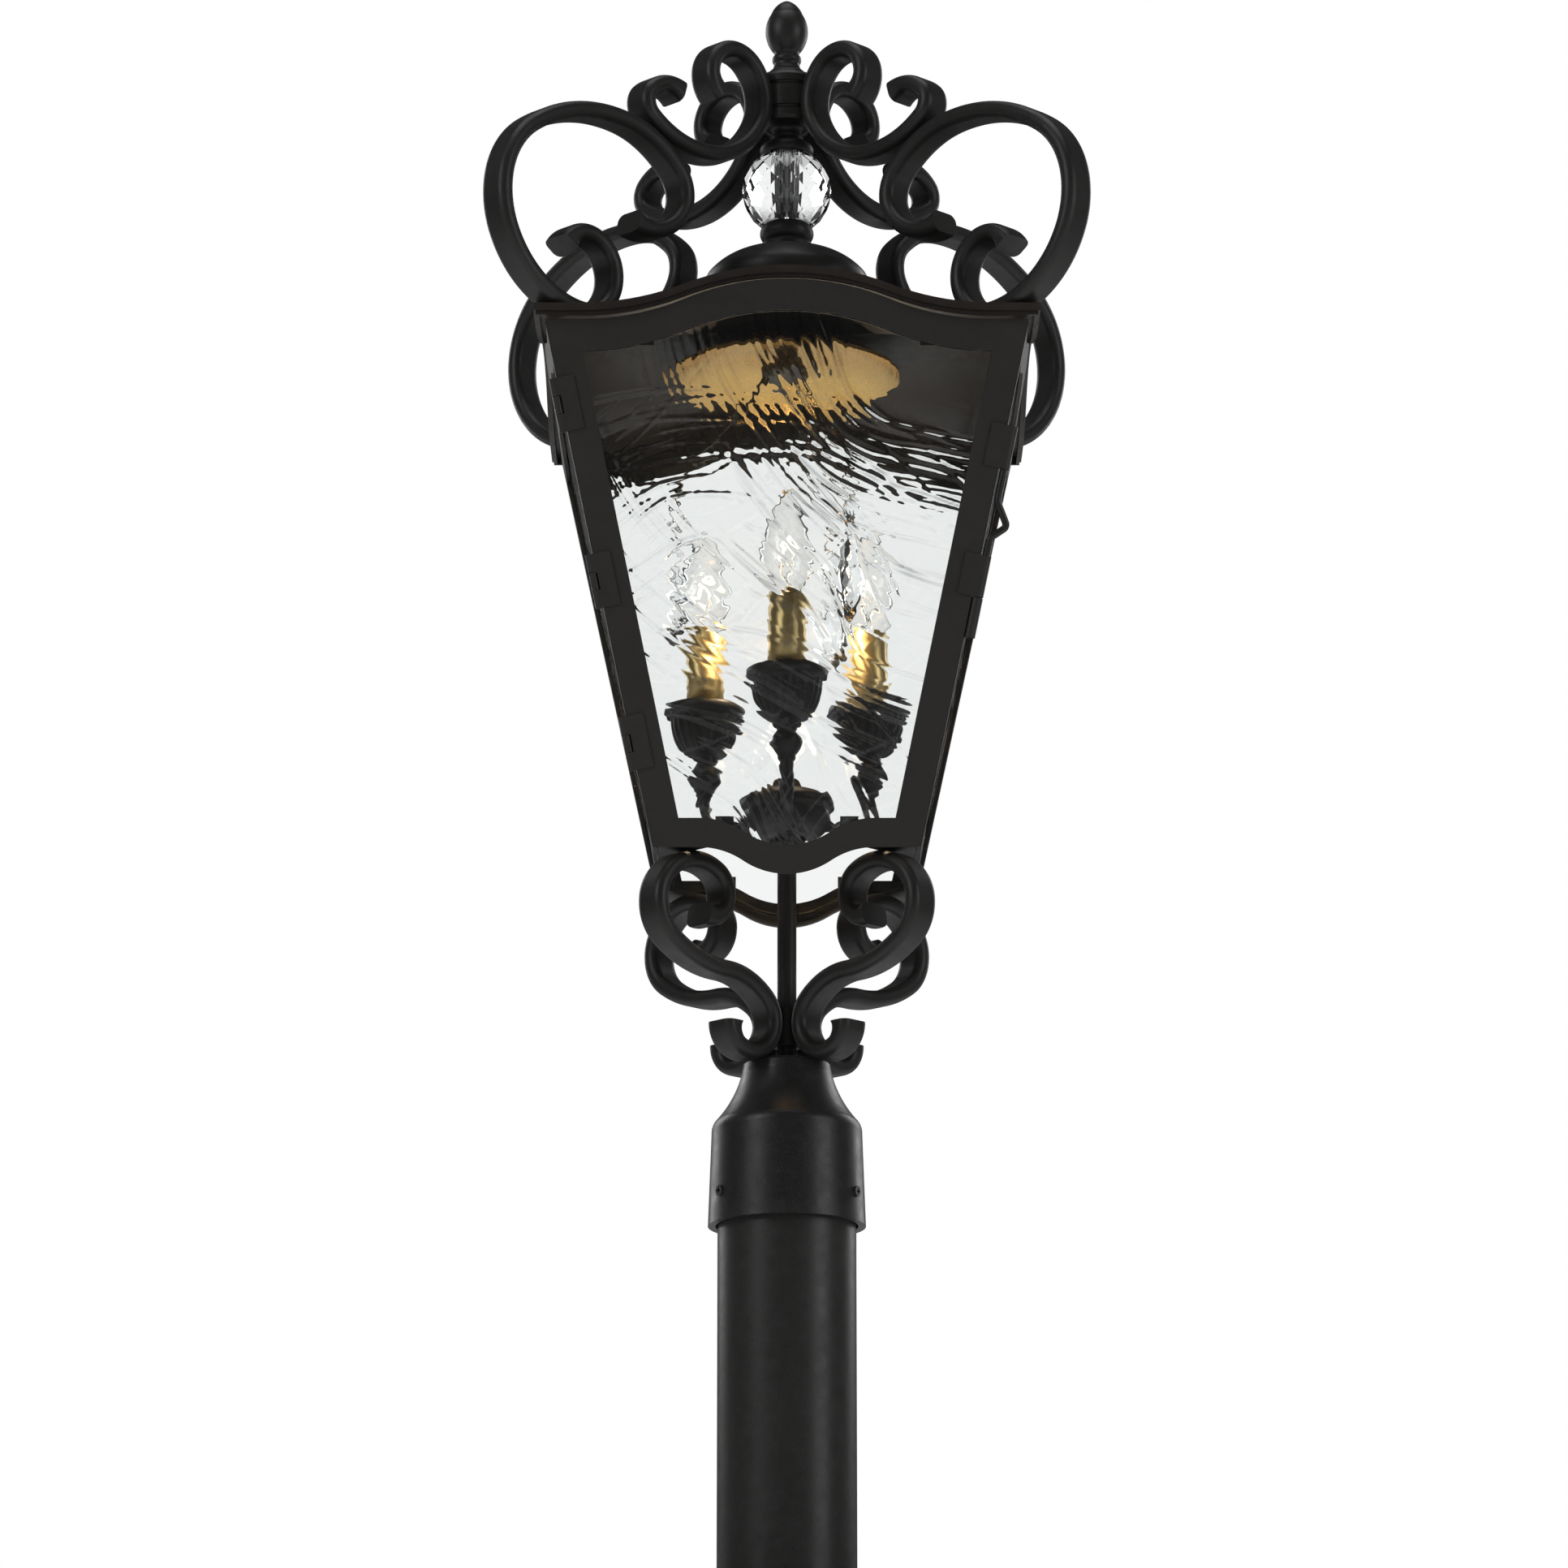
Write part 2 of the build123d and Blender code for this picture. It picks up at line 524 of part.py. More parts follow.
def build():
    nodes = {}
    nodes["post"] = make_post()
    nodes["base_flange"] = make_foot()
    nodes["post_fitter"] = make_fitter()
    nodes["set_screws"] = make_set_screws()
    nodes["central_rod"] = make_rod()
    nodes["scroll_collar"] = make_scroll_collar()
    roof = make_roof()
    nodes["roof"] = roof
    nodes["roof_crown"] = make_roof_crown()
    nodes["dome_cap"] = make_dome_cap()
    nodes["lower_collar"] = make_lower_collar()
    nodes["crystal_ball"] = make_crystal_ball()
    nodes["crystal_tube"] = make_crystal_tube()
    nodes["column"] = make_column()
    nodes["finial"] = make_finial()
    nodes["spindle"] = make_spindle()
    nodes["reflector_dish"] = make_dish()
    nodes["lock_nuts"] = [nut - roof for nut in make_nuts()]

    left = panel_frame(-0.2, JAMB_BACK, 14.0, 0.2 - 2.0, 2.0)
    right = panel_frame(JAMB_BACK, -0.2, 14.0, 0.2 - 2.0, 2.0)
    back = panel_frame(2.2, 2.2, 14.0, 0.2 - 2.0, 2.0)
    nodes["frame_left"] = Rot(0, 0, SIDES["left"]) * left - roof
    nodes["frame_right"] = Rot(0, 0, SIDES["right"]) * right - roof
    sides = nodes["frame_left"] + nodes["frame_right"]
    nodes["frame_back"] = Rot(0, 0, SIDES["back"]) * back - roof - sides
    jamb = panel_frame(2.2, 2.2, 14.0, -JAMB_BACK - 2.0, 2.0)
    nodes["door_jamb"] = jamb - roof - sides
    for name, turn in SIDES.items():
        nodes["glass_" + name] = Rot(0, 0, turn) * pane(10.5, 10.5, 0.2 - 2.0 - GLASS_T)
    nodes["glass_door"] = pane(3.5, 3.5, -SHEET - GLASS_T)
    nodes["cage_glass_clips"] = make_clips(0.2 - 2.0 - GLASS_T - 0.8, SIDES.values())
    nodes["door_glass_clips"] = make_clips(-SHEET - GLASS_T - 0.8, (0,))
    gussets = []
    for plate in make_gussets():
        for name in ("frame_left", "frame_right", "frame_back", "door_jamb"):
            plate -= nodes[name]
        for name in SIDES:
            plate -= nodes["glass_" + name]
        gussets.append(main_solid(plate))
    nodes["corner_gussets"] = gussets

    nodes["door_stile_left"] = make_stile(-1)
    nodes["door_stile_right"] = make_stile(1)
    nodes["door_top_rail"] = make_door_rail(True)
    nodes["door_bottom_rail"] = make_door_rail(False)
    nodes["hinge_door_leaves"], nodes["hinge_cage_leaves"], nodes["hinge_pins"] = make_hinges()
    nodes["latch_barrels"], nodes["latch_bolt"], nodes["latch_keeper"] = make_latch()

    big, small, foot = make_scrolls()
    for name, turn in CORNERS.items():
        nodes["big_scroll_" + name] = main_solid(Rot(0, 0, turn) * big - roof)
        bar = Rot(0, 0, turn) * small - nodes["big_scroll_" + name]
        nodes["small_scroll_" + name] = bar - nodes["column"]
        bar = Rot(0, 0, turn) * foot - nodes["post_fitter"] - nodes["scroll_collar"]
        for plate in gussets:
            bar -= plate
        nodes["foot_scroll_" + name] = bar

    nodes["hub"] = make_hub()
    nodes["candle_arms"] = [arm - nodes["hub"] for arm in ring_of(make_arm(), CANDLE_ANGLES)]
    nodes["candle_cups"] = at_candles(make_cup())
    nodes["candle_sleeves"] = at_candles(make_sleeve())
    nodes["lamp_sockets"] = at_candles(make_socket())
    nodes["bulbs"] = at_candles(make_bulb())
    nodes["pendant_spider"] = make_pendant_spider()
    for name, angle in zip(("left", "front", "back"), PENDANT_ANGLES):
        nodes["pendant_" + name] = [Rot(0, 0, angle) * piece for piece in make_pendant()]
    return nodes


def main():
    os.makedirs("parts", exist_ok=True)
    for name, shape in build().items():
        pieces = shape if isinstance(shape, list) else [shape]
        solids = [solid for piece in pieces for solid in piece.solids()]
        lifted = [Pos(0, 0, RIM) * solid for solid in solids]
        export_step(lifted[0] if len(lifted) == 1 else Compound(lifted), f"parts/{name}.step")
        print(name, len(lifted), [round(s.volume, 1) for s in lifted][:4])


main()
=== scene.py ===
import math

import bmesh
import bpy
import numpy as np
from mathutils import Matrix, Vector


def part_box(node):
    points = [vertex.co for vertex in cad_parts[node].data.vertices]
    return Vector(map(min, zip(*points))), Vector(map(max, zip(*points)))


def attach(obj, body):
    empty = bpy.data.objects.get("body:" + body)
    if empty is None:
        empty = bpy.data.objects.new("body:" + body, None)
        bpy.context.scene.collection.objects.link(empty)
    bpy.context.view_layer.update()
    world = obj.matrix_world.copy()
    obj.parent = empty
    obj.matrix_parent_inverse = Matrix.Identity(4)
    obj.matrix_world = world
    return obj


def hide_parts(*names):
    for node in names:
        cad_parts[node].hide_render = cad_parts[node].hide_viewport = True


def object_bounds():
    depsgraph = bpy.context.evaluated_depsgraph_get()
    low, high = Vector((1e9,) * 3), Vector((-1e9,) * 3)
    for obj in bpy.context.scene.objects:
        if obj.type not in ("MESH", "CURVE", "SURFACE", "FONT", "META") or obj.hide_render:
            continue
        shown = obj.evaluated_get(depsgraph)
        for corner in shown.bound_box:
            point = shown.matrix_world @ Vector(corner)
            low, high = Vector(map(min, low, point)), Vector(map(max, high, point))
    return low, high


# Looks of a black post-top lantern: rippled water glass, cut crystal, candle
# bulbs, fluted cups and powder-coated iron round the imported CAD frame.

MM = 0.001
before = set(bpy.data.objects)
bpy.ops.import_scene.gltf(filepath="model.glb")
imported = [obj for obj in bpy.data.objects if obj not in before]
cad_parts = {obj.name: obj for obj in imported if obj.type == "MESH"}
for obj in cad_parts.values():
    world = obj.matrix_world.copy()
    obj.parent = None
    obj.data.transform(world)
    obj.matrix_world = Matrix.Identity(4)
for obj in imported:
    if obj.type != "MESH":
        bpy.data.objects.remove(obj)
cad_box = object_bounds()


# ---------- shader helpers ----------

class Shader:
    """A Principled material with short calls for adding nodes."""

    def __init__(self, name):
        self.material = bpy.data.materials.new(name)
        self.material.use_nodes = True
        self.tree = self.material.node_tree
        self.surface = self.tree.nodes["Principled BSDF"]
        self.place = self.add("ShaderNodeTexCoord").outputs["Object"]

    def add(self, kind, **settings):
        node = self.tree.nodes.new(kind)
        for key, value in settings.items():
            setattr(node, key, value)
        return node

    def link(self, source, target):
        self.tree.links.new(source, target)

    def feed(self, node, name, value):
        """Sets a socket's value, or links it when the value is another socket."""
        if isinstance(value, bpy.types.NodeSocket):
            self.link(value, node.inputs[name])
        else:
            node.inputs[name].default_value = value

    def set(self, **values):
        for key, value in values.items():
            self.feed(self.surface, key.replace("_", " "), value)

    def noise(self, scale, detail=3.0, stretch=(1, 1, 1), distortion=0.0, vector=None):
        mapping = self.add("ShaderNodeMapping")
        mapping.inputs["Scale"].default_value = stretch
        self.link(vector or self.place, mapping.inputs["Vector"])
        node = self.add("ShaderNodeTexNoise")
        node.inputs["Scale"].default_value = scale
        node.inputs["Detail"].default_value = detail
        node.inputs["Distortion"].default_value = distortion
        self.link(mapping.outputs["Vector"], node.inputs["Vector"])
        return node.outputs["Fac"]

    def ramp(self, value, stops):
        """Colour ramp from (position, colour) stops; a plain number is a grey."""
        node = self.add("ShaderNodeValToRGB")
        points = node.color_ramp.elements
        while len(points) < len(stops):
            points.new(0.5)
        for point, (position, colour) in zip(points, stops):
            point.position = position
            point.color = (*colour, 1) if isinstance(colour, tuple) else (colour, colour, colour, 1)
        self.link(value, node.inputs["Fac"])
        return node.outputs["Color"]

    def mix(self, amount, first, second, blend="MIX"):
        node = self.add("ShaderNodeMix", data_type="RGBA", blend_type=blend)
        for index, value in ((0, amount), (6, first), (7, second)):
            if isinstance(value, bpy.types.NodeSocket):
                self.link(value, node.inputs[index])
            else:
                node.inputs[index].default_value = (*value, 1) if isinstance(value, tuple) else value
        return node.outputs[2]

    def bump(self, *layers):
        """Stacks (height, strength, distance in metres) layers onto the normal."""
        normal = None
        for height, strength, distance in layers:
            node = self.add("ShaderNodeBump")
            node.inputs["Strength"].default_value = strength
            node.inputs["Distance"].default_value = distance
            self.link(height, node.inputs["Height"])
            if normal:
                self.link(normal, node.inputs["Normal"])
            normal = node.outputs["Normal"]
        self.link(normal, self.surface.inputs["Normal"])

    def cylinder_place(self):
        """Vector of (angle share, radius, height) round the object's Z axis."""
        split = self.add("ShaderNodeSeparateXYZ")
        self.link(self.place, split.inputs["Vector"])
        angle = self.add("ShaderNodeMath", operation="ARCTAN2")
        self.link(split.outputs["Y"], angle.inputs[0])
        self.link(split.outputs["X"], angle.inputs[1])
        flat = self.add("ShaderNodeCombineXYZ")
        self.link(split.outputs["X"], flat.inputs["X"])
        self.link(split.outputs["Y"], flat.inputs["Y"])
        radius = self.add("ShaderNodeVectorMath", operation="LENGTH")
        self.link(flat.outputs["Vector"], radius.inputs[0])
        out = self.add("ShaderNodeCombineXYZ")
        self.link(angle.outputs["Value"], out.inputs["X"])
        self.link(radius.outputs["Value"], out.inputs["Y"])
        self.link(split.outputs["Z"], out.inputs["Z"])
        return out.outputs["Vector"]


# ---------- materials ----------

def powder_coat(name, dark, light, rough, grain, speckle):
    """Baked black coating: cloudy tone, fine orange peel and slightly rubbed edges."""
    s = Shader(name)
    cloud = s.ramp(s.noise(26, 5), [(0.3, dark), (0.72, light)])
    fleck = s.ramp(s.noise(1500, 2), [(0.56, 0.0), (0.74, speckle)])
    tone = s.mix(1.0, cloud, fleck, "ADD")
    edge = s.ramp(s.add("ShaderNodeNewGeometry").outputs["Pointiness"], [(0.53, 0.0), (0.62, 0.35)])
    s.set(Base_Color=s.mix(edge, tone, (light[0] * 2.6, light[1] * 2.5, light[2] * 2.4)))
    s.set(Roughness=s.ramp(s.noise(140, 4), [(0.3, rough - 0.06), (0.7, rough + 0.06)]))
    s.surface.inputs["Specular IOR Level"].default_value = 0.42
    s.bump((s.noise(60, 3), 0.12, 0.0004), (s.noise(1100, 3), grain, 0.00012))
    return s.material


def gold(name, base, bright, rough, spun):
    """Satin gold-coloured metal; spun metal has fine rings, drawn metal has long grain."""
    s = Shader(name)
    around = s.cylinder_place()
    stretch = (2, 900, 900) if spun else (900, 60, 12)
    grain = s.noise(1.0, 3, stretch, vector=around if spun else s.place)
    s.set(Base_Color=s.mix(s.noise(45, 3), base, bright))
    s.set(Metallic=0.92)
    s.set(Roughness=s.ramp(grain, [(0.3, rough - 0.07), (0.7, rough + 0.08)]))
    s.bump((grain, 0.22, 0.00008))
    return s.material


def silver(name):
    """Polished tube; its soft lengthwise streaks are painted reflections, light and dark bands round the
    tube in the base colour.
    """
    s = Shader(name)
    painted_reflection_streak = s.noise(1.0, 3, (7, 1, 3), vector=s.cylinder_place())
    # painted reflection: base colour banded from dark grey to near white round the tube
    s.set(Base_Color=s.ramp(painted_reflection_streak, [(0.35, (0.30, 0.29, 0.28)), (0.5, 0.78), (0.65, 0.95)]))
    s.set(Metallic=1.0)
    s.set(Roughness=s.ramp(painted_reflection_streak, [(0.3, 0.16), (0.7, 0.3)]))
    return s.material


def clear_glass(name, tint, ior, mirror=0.5, painted_streak_shade=False):
    """Clear glass; a sheet with painted streak shade gets grey lines along its ripples from a vertex
    attribute: painted shade that stands in for dark surroundings refracted by the glass.
    """
    s = Shader(name)
    haze = s.noise(35, 3)
    tone = s.mix(haze, tint, tuple(min(1.0, c * 1.02) for c in tint))
    # painted shade: grey (0.30, 0.31, 0.31) mixed in along the steep ripples, standing in for dark
    # surroundings refracted by the glass
    if painted_streak_shade:
        painted_ripple_shade = s.add("ShaderNodeAttribute", attribute_name="painted_ripple_shade")
        tone = s.mix(painted_ripple_shade.outputs["Fac"], tone, (0.30, 0.31, 0.31))
    s.set(Base_Color=tone)
    s.set(Roughness=s.ramp(haze, [(0.3, 0.0), (0.7, 0.012)]))
    s.surface.inputs["Transmission Weight"].default_value = 1.0
    s.surface.inputs["IOR"].default_value = ior
    s.surface.inputs["Specular IOR Level"].default_value = mirror
    s.bump((s.noise(90, 3, (1, 1, 0.4)), 0.05, 0.0003))
    return s.material


def lit_wire(name):
    """Glowing filament."""
    s = Shader(name)
    hot = s.ramp(s.noise(400, 2), [(0.3, (1.0, 0.66, 0.32)), (0.7, (1.0, 0.82, 0.55))])
    s.set(Base_Color=hot)
    s.set(Emission_Color=hot)
    s.surface.inputs["Emission Strength"].default_value = 70.0
    return s.material


def dull(name, dark, light, rough):
    """Plain dark plastic."""
    s = Shader(name)
    s.set(Base_Color=s.ramp(s.noise(200, 4), [(0.3, dark), (0.7, light)]))
    s.set(Roughness=rough)
    s.bump((s.noise(900, 3), 0.1, 0.0001))
    return s.material


COAT = powder_coat("black_powder_coat", (0.0088, 0.0082, 0.0077), (0.0132, 0.0124, 0.0117),
                   rough=0.44, grain=0.16, speckle=0.006)
# The roof's coat is the black coat made browner and a little brighter: painted warm glow of the bulbs on
# the roof.
ROOF_COAT_PAINTED_GLOW = powder_coat("roof_coat_painted_warm_glow", (0.0105, 0.0078, 0.0064), (0.0150, 0.0115, 0.0096),
                        rough=0.42, grain=0.16, speckle=0.006)
POST_COAT = powder_coat("post_powder_coat", (0.0088, 0.0086, 0.0084), (0.0130, 0.0127, 0.0125),
                        rough=0.36, grain=0.22, speckle=0.022)
HARDWARE = powder_coat("black_hardware", (0.0085, 0.0078, 0.0072), (0.0125, 0.0115, 0.0108),
                       rough=0.32, grain=0.10, speckle=0.004)
DISH_GOLD = gold("spun_gold", (0.62, 0.40, 0.13), (0.74, 0.52, 0.22), rough=0.30, spun=True)
SLEEVE_GOLD = gold("satin_gold", (0.58, 0.42, 0.17), (0.70, 0.54, 0.26), rough=0.36, spun=False)
SILVER = silver("silvered_tube")
WATER_GLASS = clear_glass("water_glass", (0.95, 0.965, 0.96), ior=1.46, mirror=0.25, painted_streak_shade=True)
BULB_GLASS = clear_glass("bulb_glass", (0.985, 0.98, 0.97), ior=1.45, mirror=0.3)
CRYSTAL = clear_glass("cut_crystal", (0.96, 0.97, 0.975), ior=1.57)
FILAMENT = lit_wire("lit_filament")
SOCKET = dull("socket_plastic", (0.05, 0.04, 0.03), (0.08, 0.065, 0.05), 0.55)
BRASS = gold("bulb_base_brass", (0.55, 0.42, 0.22), (0.70, 0.58, 0.36), rough=0.30, spun=True)

COATS = {"roof": ROOF_COAT_PAINTED_GLOW, "post": POST_COAT, "base_flange": POST_COAT, "post_fitter": POST_COAT,
         "set_screws": HARDWARE, "hinge_pins": HARDWARE, "latch_bolt": HARDWARE, "lock_nuts": HARDWARE,
         "cage_glass_clips": HARDWARE, "door_glass_clips": HARDWARE, "reflector_dish": DISH_GOLD,
         "candle_sleeves": SLEEVE_GOLD, "crystal_tube": SILVER, "lamp_sockets": SOCKET}

for node_name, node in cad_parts.items():
    node.data.materials.clear()
    node.data.materials.append(COATS.get(node_name, COAT))


# ---------- mesh helpers ----------

POLE, SAME_POINT = 1e-7, 1e-6


def add_piece(name, bm, body, replaced, materials, smooth=True):
    """Turns a bmesh into a piece that rides on a body and stands for CAD nodes."""
    bmesh.ops.recalc_face_normals(bm, faces=bm.faces)
    mesh = bpy.data.meshes.new(name)
    bm.to_mesh(mesh)
    bm.free()
    for material in materials:
        mesh.materials.append(material)
    for polygon in mesh.polygons:
        polygon.use_smooth = smooth
    piece = bpy.data.objects.new(name, mesh)
    bpy.context.scene.collection.objects.link(piece)
    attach(piece, body)
    if replaced:
        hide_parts(*replaced)
    return piece


def islands(node_name):
    """Lowest and highest corner of each separate solid of a CAD node."""
    bm = bmesh.new()
    bm.from_mesh(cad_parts[node_name].data)
    bmesh.ops.remove_doubles(bm, verts=bm.verts, dist=SAME_POINT)
    boxes, left = [], set(bm.verts)
    while left:
        stack, group = [left.pop()], []
        while stack:
            vert = stack.pop()
            group.append(vert.co.copy())
            for edge in vert.link_edges:
                other = edge.other_vert(vert)
                if other in left:
                    left.remove(other)
                    stack.append(other)
        low = Vector([min(co[i] for co in group) for i in range(3)])
        high = Vector([max(co[i] for co in group) for i in range(3)])
        boxes.append((low, high))
    bm.free()
    return boxes


def lathe(bm, rings, segments, centre, radius_at=None, close=False):
    """Skin of revolution from (radius, height) rings in metres; radius 0 is a pole."""
    rows = []
    for radius, height in rings:
        if radius < POLE:
            rows.append([bm.verts.new(centre + Vector((0, 0, height)))])
            continue
        row = []
        for k in range(segments):
            angle = 2 * math.pi * k / segments
            r = radius_at(radius, height, angle) if radius_at else radius
            row.append(bm.verts.new(centre + Vector((r * math.cos(angle), r * math.sin(angle), height))))
        rows.append(row)
    for low, high in zip(rows, rows[1:] + rows[:1] if close else rows[1:]):
        for k in range(segments):
            nxt = (k + 1) % segments
            if len(low) == 1 and len(high) == 1:
                continue
            if len(low) == 1:
                bm.faces.new((low[0], high[k], high[nxt]))
            elif len(high) == 1:
                bm.faces.new((low[k], low[nxt], high[0]))
            else:
                bm.faces.new((low[k], low[nxt], high[nxt], high[k]))


def facet(bm, rings, sides, place):
    """Cut stone: each ring is turned half a side from the last, so its faces are triangles."""
    rows = []
    for index, (radius, height) in enumerate(rings):
        row = []
        for k in range(sides):
            angle = 2 * math.pi * (k + 0.5 * (index % 2)) / sides
            point = Vector((radius * math.cos(angle), radius * math.sin(angle), height))
            row.append(bm.verts.new(place @ point))
        rows.append(row)
    for index, (low, high) in enumerate(zip(rows, rows[1:])):
        for k in range(sides):
            nxt = (k + 1) % sides
            if index % 2 == 0:
                bm.faces.new((low[k], low[nxt], high[k]))
                bm.faces.new((low[nxt], high[nxt], high[k]))
            else:
                bm.faces.new((low[k], low[nxt], high[nxt]))
                bm.faces.new((low[k], high[nxt], high[k]))
    return rows


def tube(bm, path, radius, sides=10, material=0, closed=False):
    """Round wire along points."""
    rows = []
    count = len(path)
    for index, point in enumerate(path):
        before = path[index - 1] if index or closed else point
        after = path[(index + 1) % count] if index < count - 1 or closed else point
        along = (after - before).normalized()
        side = along.cross(Vector((0.3, 0.2, 1.0))).normalized()
        up = side.cross(along)
        row = []
        for k in range(sides):
            angle = 2 * math.pi * k / sides
            row.append(bm.verts.new(point + radius * (math.cos(angle) * side + math.sin(angle) * up)))
        rows.append(row)
    pairs = list(zip(rows, rows[1:]))
    if closed:
        pairs.append((rows[-1], rows[0]))
    else:
        bm.faces.new(rows[0][::-1]).material_index = material
        bm.faces.new(rows[-1]).material_index = material
    for low, high in pairs:
        for k in range(sides):
            nxt = (k + 1) % sides
            bm.faces.new((low[k], low[nxt], high[nxt], high[k])).material_index = material


# ---------- water glass ----------

# Bundles of ripples: centre, reach and turn of the arcs they follow, how many,
# and how wide they lie. Half the pane's width is 1 in each direction.
BUNDLES = (
    ((0.88, 1.22), (0.66, 1.45), (-3.30, -1.65), 150, 1.0),
    ((1.20, 1.55), (1.60, 2.70), (-2.95, -1.85), 120, 0.9),
    ((-0.30, -0.52), (0.50, 1.40), (0.60, 2.95), 105, 0.8),
    ((-0.62, -1.45), (0.45, 1.30), (0.05, 1.60), 64, 0.8),
    ((-1.50, 1.90), (0.90, 1.60), (-1.70, -0.80), 26, 0.6),
)


def ripple_height(x, y, seed, share):
    """Raised lines of poured glass: long thin strokes laid along the arcs of each bundle."""
    rng = np.random.default_rng(seed)
    total = np.zeros_like(x)
    for (cx, cy), reaches, turns, count, power in BUNDLES:
        away = np.hypot(x - cx, y - cy)
        turn = np.arctan2(y - cy, x - cx)
        away = (away + 0.045 * np.sin(3.1 * turn + 4.3 * away + seed)
                + 0.02 * np.sin(7.7 * turn - 3.0 * away))
        for _ in range(int(count * share)):
            reach = rng.uniform(*reaches)
            middle = rng.uniform(*turns)
            length = rng.uniform(0.14, 0.55) / max(reach, 0.4)
            width = rng.uniform(0.0065, 0.014)
            drift = reach + rng.uniform(-0.10, 0.10) * (turn - middle)
            along = np.clip(1 - ((turn - middle) / length) ** 2, 0, 1) ** 1.5
            side = (away - drift) / width
            height = power * rng.uniform(0.35, 1.0) * rng.choice((-1.0, 1.0, 1.0))
            total += height * along * np.exp(-side ** 2)
    waves_x = np.sin(5.2 * x + 2.3 * np.sin(3.1 * y + seed))
    waves_y = np.sin(4.4 * y + 1.9 * np.sin(2.7 * x + seed))
    return total + 0.5 * waves_x * waves_y


def pane_outline(node_name):
    """Axes of a pane's plane, and its corners' places along them."""
    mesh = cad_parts[node_name].data
    widest = max(mesh.polygons, key=lambda polygon: polygon.area)
    normal = widest.normal.copy()
    points = np.array([vertex.co for vertex in mesh.vertices])
    middle = Vector(points.mean(axis=0))
    if normal.dot(Vector((middle.x, middle.y, 0))) < 0:
        normal.negate()
    across = Vector((0, 0, 1)).cross(normal).normalized()
    upward = normal.cross(across).normalized()
    u, v, w = (points @ np.array(axis) for axis in (across, upward, normal))
    return across, upward, normal, u, v, w


def edge_line(low, high):
    """Position across the pane of a straight edge, as a function of the distance up it."""
    slope = (high[0] - low[0]) / (high[1] - low[1])
    return lambda v: low[0] + (v - low[1]) * slope


def profile(u, v, keep, grow):
    """Upper or lower outline as a function of the distance across."""
    order = np.argsort(u[keep])
    across, up = u[keep][order], v[keep][order]
    merged = {}
    for a, b in zip(np.round(across, 5), up):
        merged[a] = grow(merged.get(a, b), b)
    keys = np.array(sorted(merged))
    return lambda x: np.interp(x, keys, np.array([merged[key] for key in keys]))


# how far the sheet's outer and inner faces lie inside the CAD pane, and the most a ripple may move them
OUTER_INSET, INNER_INSET, MOST_RIPPLE = 0.85 * MM, 0.3 * MM, 0.8 * MM


def water_pane(name, node_name, body, seed, strength, spacing):
    """Poured-glass sheet: rippled outer face, softly waved inner face, closed rim."""
    across, upward, normal, u, v, w = pane_outline(node_name)
    middle = (v.min() + v.max()) / 2
    top = profile(u, v, v > middle, max)
    bottom = profile(u, v, v < middle, min)
    low_v, high_v = bottom(u[v < middle].min()), top(u[v > middle].min())
    left = edge_line((u[v < middle].min(), low_v), (u[v > middle].min(), high_v))
    right = edge_line((u[v < middle].max(), low_v), (u[v > middle].max(), high_v))
    wide = int((u.max() - u.min()) / spacing)
    tall = int((v.max() - v.min()) / spacing)
    s, t = np.meshgrid(np.linspace(0, 1, wide), np.linspace(0, 1, tall))
    gu, gv = (s - 0.5) * (u.max() - u.min()), middle + (t - 0.5) * (v.max() - v.min())
    for _ in range(4):
        gv = bottom(gu) + t * (top(gu) - bottom(gu))
        gu = left(gv) + s * (right(gv) - left(gv))
    half_u = (u.max() - u.min()) / 2
    x, y = (gu - (u.max() + u.min()) / 2) / half_u, (gv - middle) / half_u
    front = strength * ripple_height(x, y, seed, 1.0)
    back = 0.3 * strength * ripple_height(-x, y, seed + 5, 0.4)
    fade = np.clip(np.minimum.reduce([s, 1 - s, t, 1 - t]) * 40, 0, 1)
    # painted shade: grey where the outer face is steep, stored in a vertex attribute for the glass
    # colour, standing in for dark surroundings refracted by the ripples
    steep = np.hypot(*np.gradient(front)) / spacing
    painted_ripple_grey = np.clip(steep * 3.6 - 0.22, 0, 1) * fade
    bm = bmesh.new()
    sheets = []
    for level, bumps in ((w.max() - OUTER_INSET, front), (w.min() + INNER_INSET, -back)):
        base = level + np.clip(bumps, -MOST_RIPPLE, MOST_RIPPLE) * fade
        sheets.append([[bm.verts.new(across * gu[j, i] + upward * gv[j, i] + normal * base[j, i])
                        for i in range(wide)] for j in range(tall)])
    for sheet, flip in zip(sheets, (False, True)):
        for j in range(tall - 1):
            for i in range(wide - 1):
                face = [sheet[j][i], sheet[j][i + 1], sheet[j + 1][i + 1], sheet[j + 1][i]]
                bm.faces.new(face[::-1] if flip else face)
    rim = [(0, i) for i in range(wide)] + [(j, wide - 1) for j in range(1, tall)]
    rim += [(tall - 1, i) for i in range(wide - 2, -1, -1)] + [(j, 0) for j in range(tall - 2, 0, -1)]
    for (j, i), (m, n) in zip(rim, rim[1:] + rim[:1]):
        bm.faces.new((sheets[0][m][n], sheets[0][j][i], sheets[1][j][i], sheets[1][m][n]))
    piece = add_piece(name, bm, body, [node_name], [WATER_GLASS])
    values = np.concatenate([painted_ripple_grey.ravel(), np.zeros(painted_ripple_grey.size)]).astype(np.float32)
    piece.data.attributes.new("painted_ripple_shade", "FLOAT", "POINT").data.foreach_set("value", values)


water_pane("pane_door", "glass_door", "door", 3, 0.36 * MM, 0.9 * MM)
water_pane("pane_back", "glass_back", "lantern", 11, 0.16 * MM, 1.3 * MM)
water_pane("pane_left", "glass_left", "lantern", 21, 0.30 * MM, 1.3 * MM)
water_pane("pane_right", "glass_right", "lantern", 34, 0.30 * MM, 1.3 * MM)


# ---------- crystal ball ----------

BALL_SIDES = 14


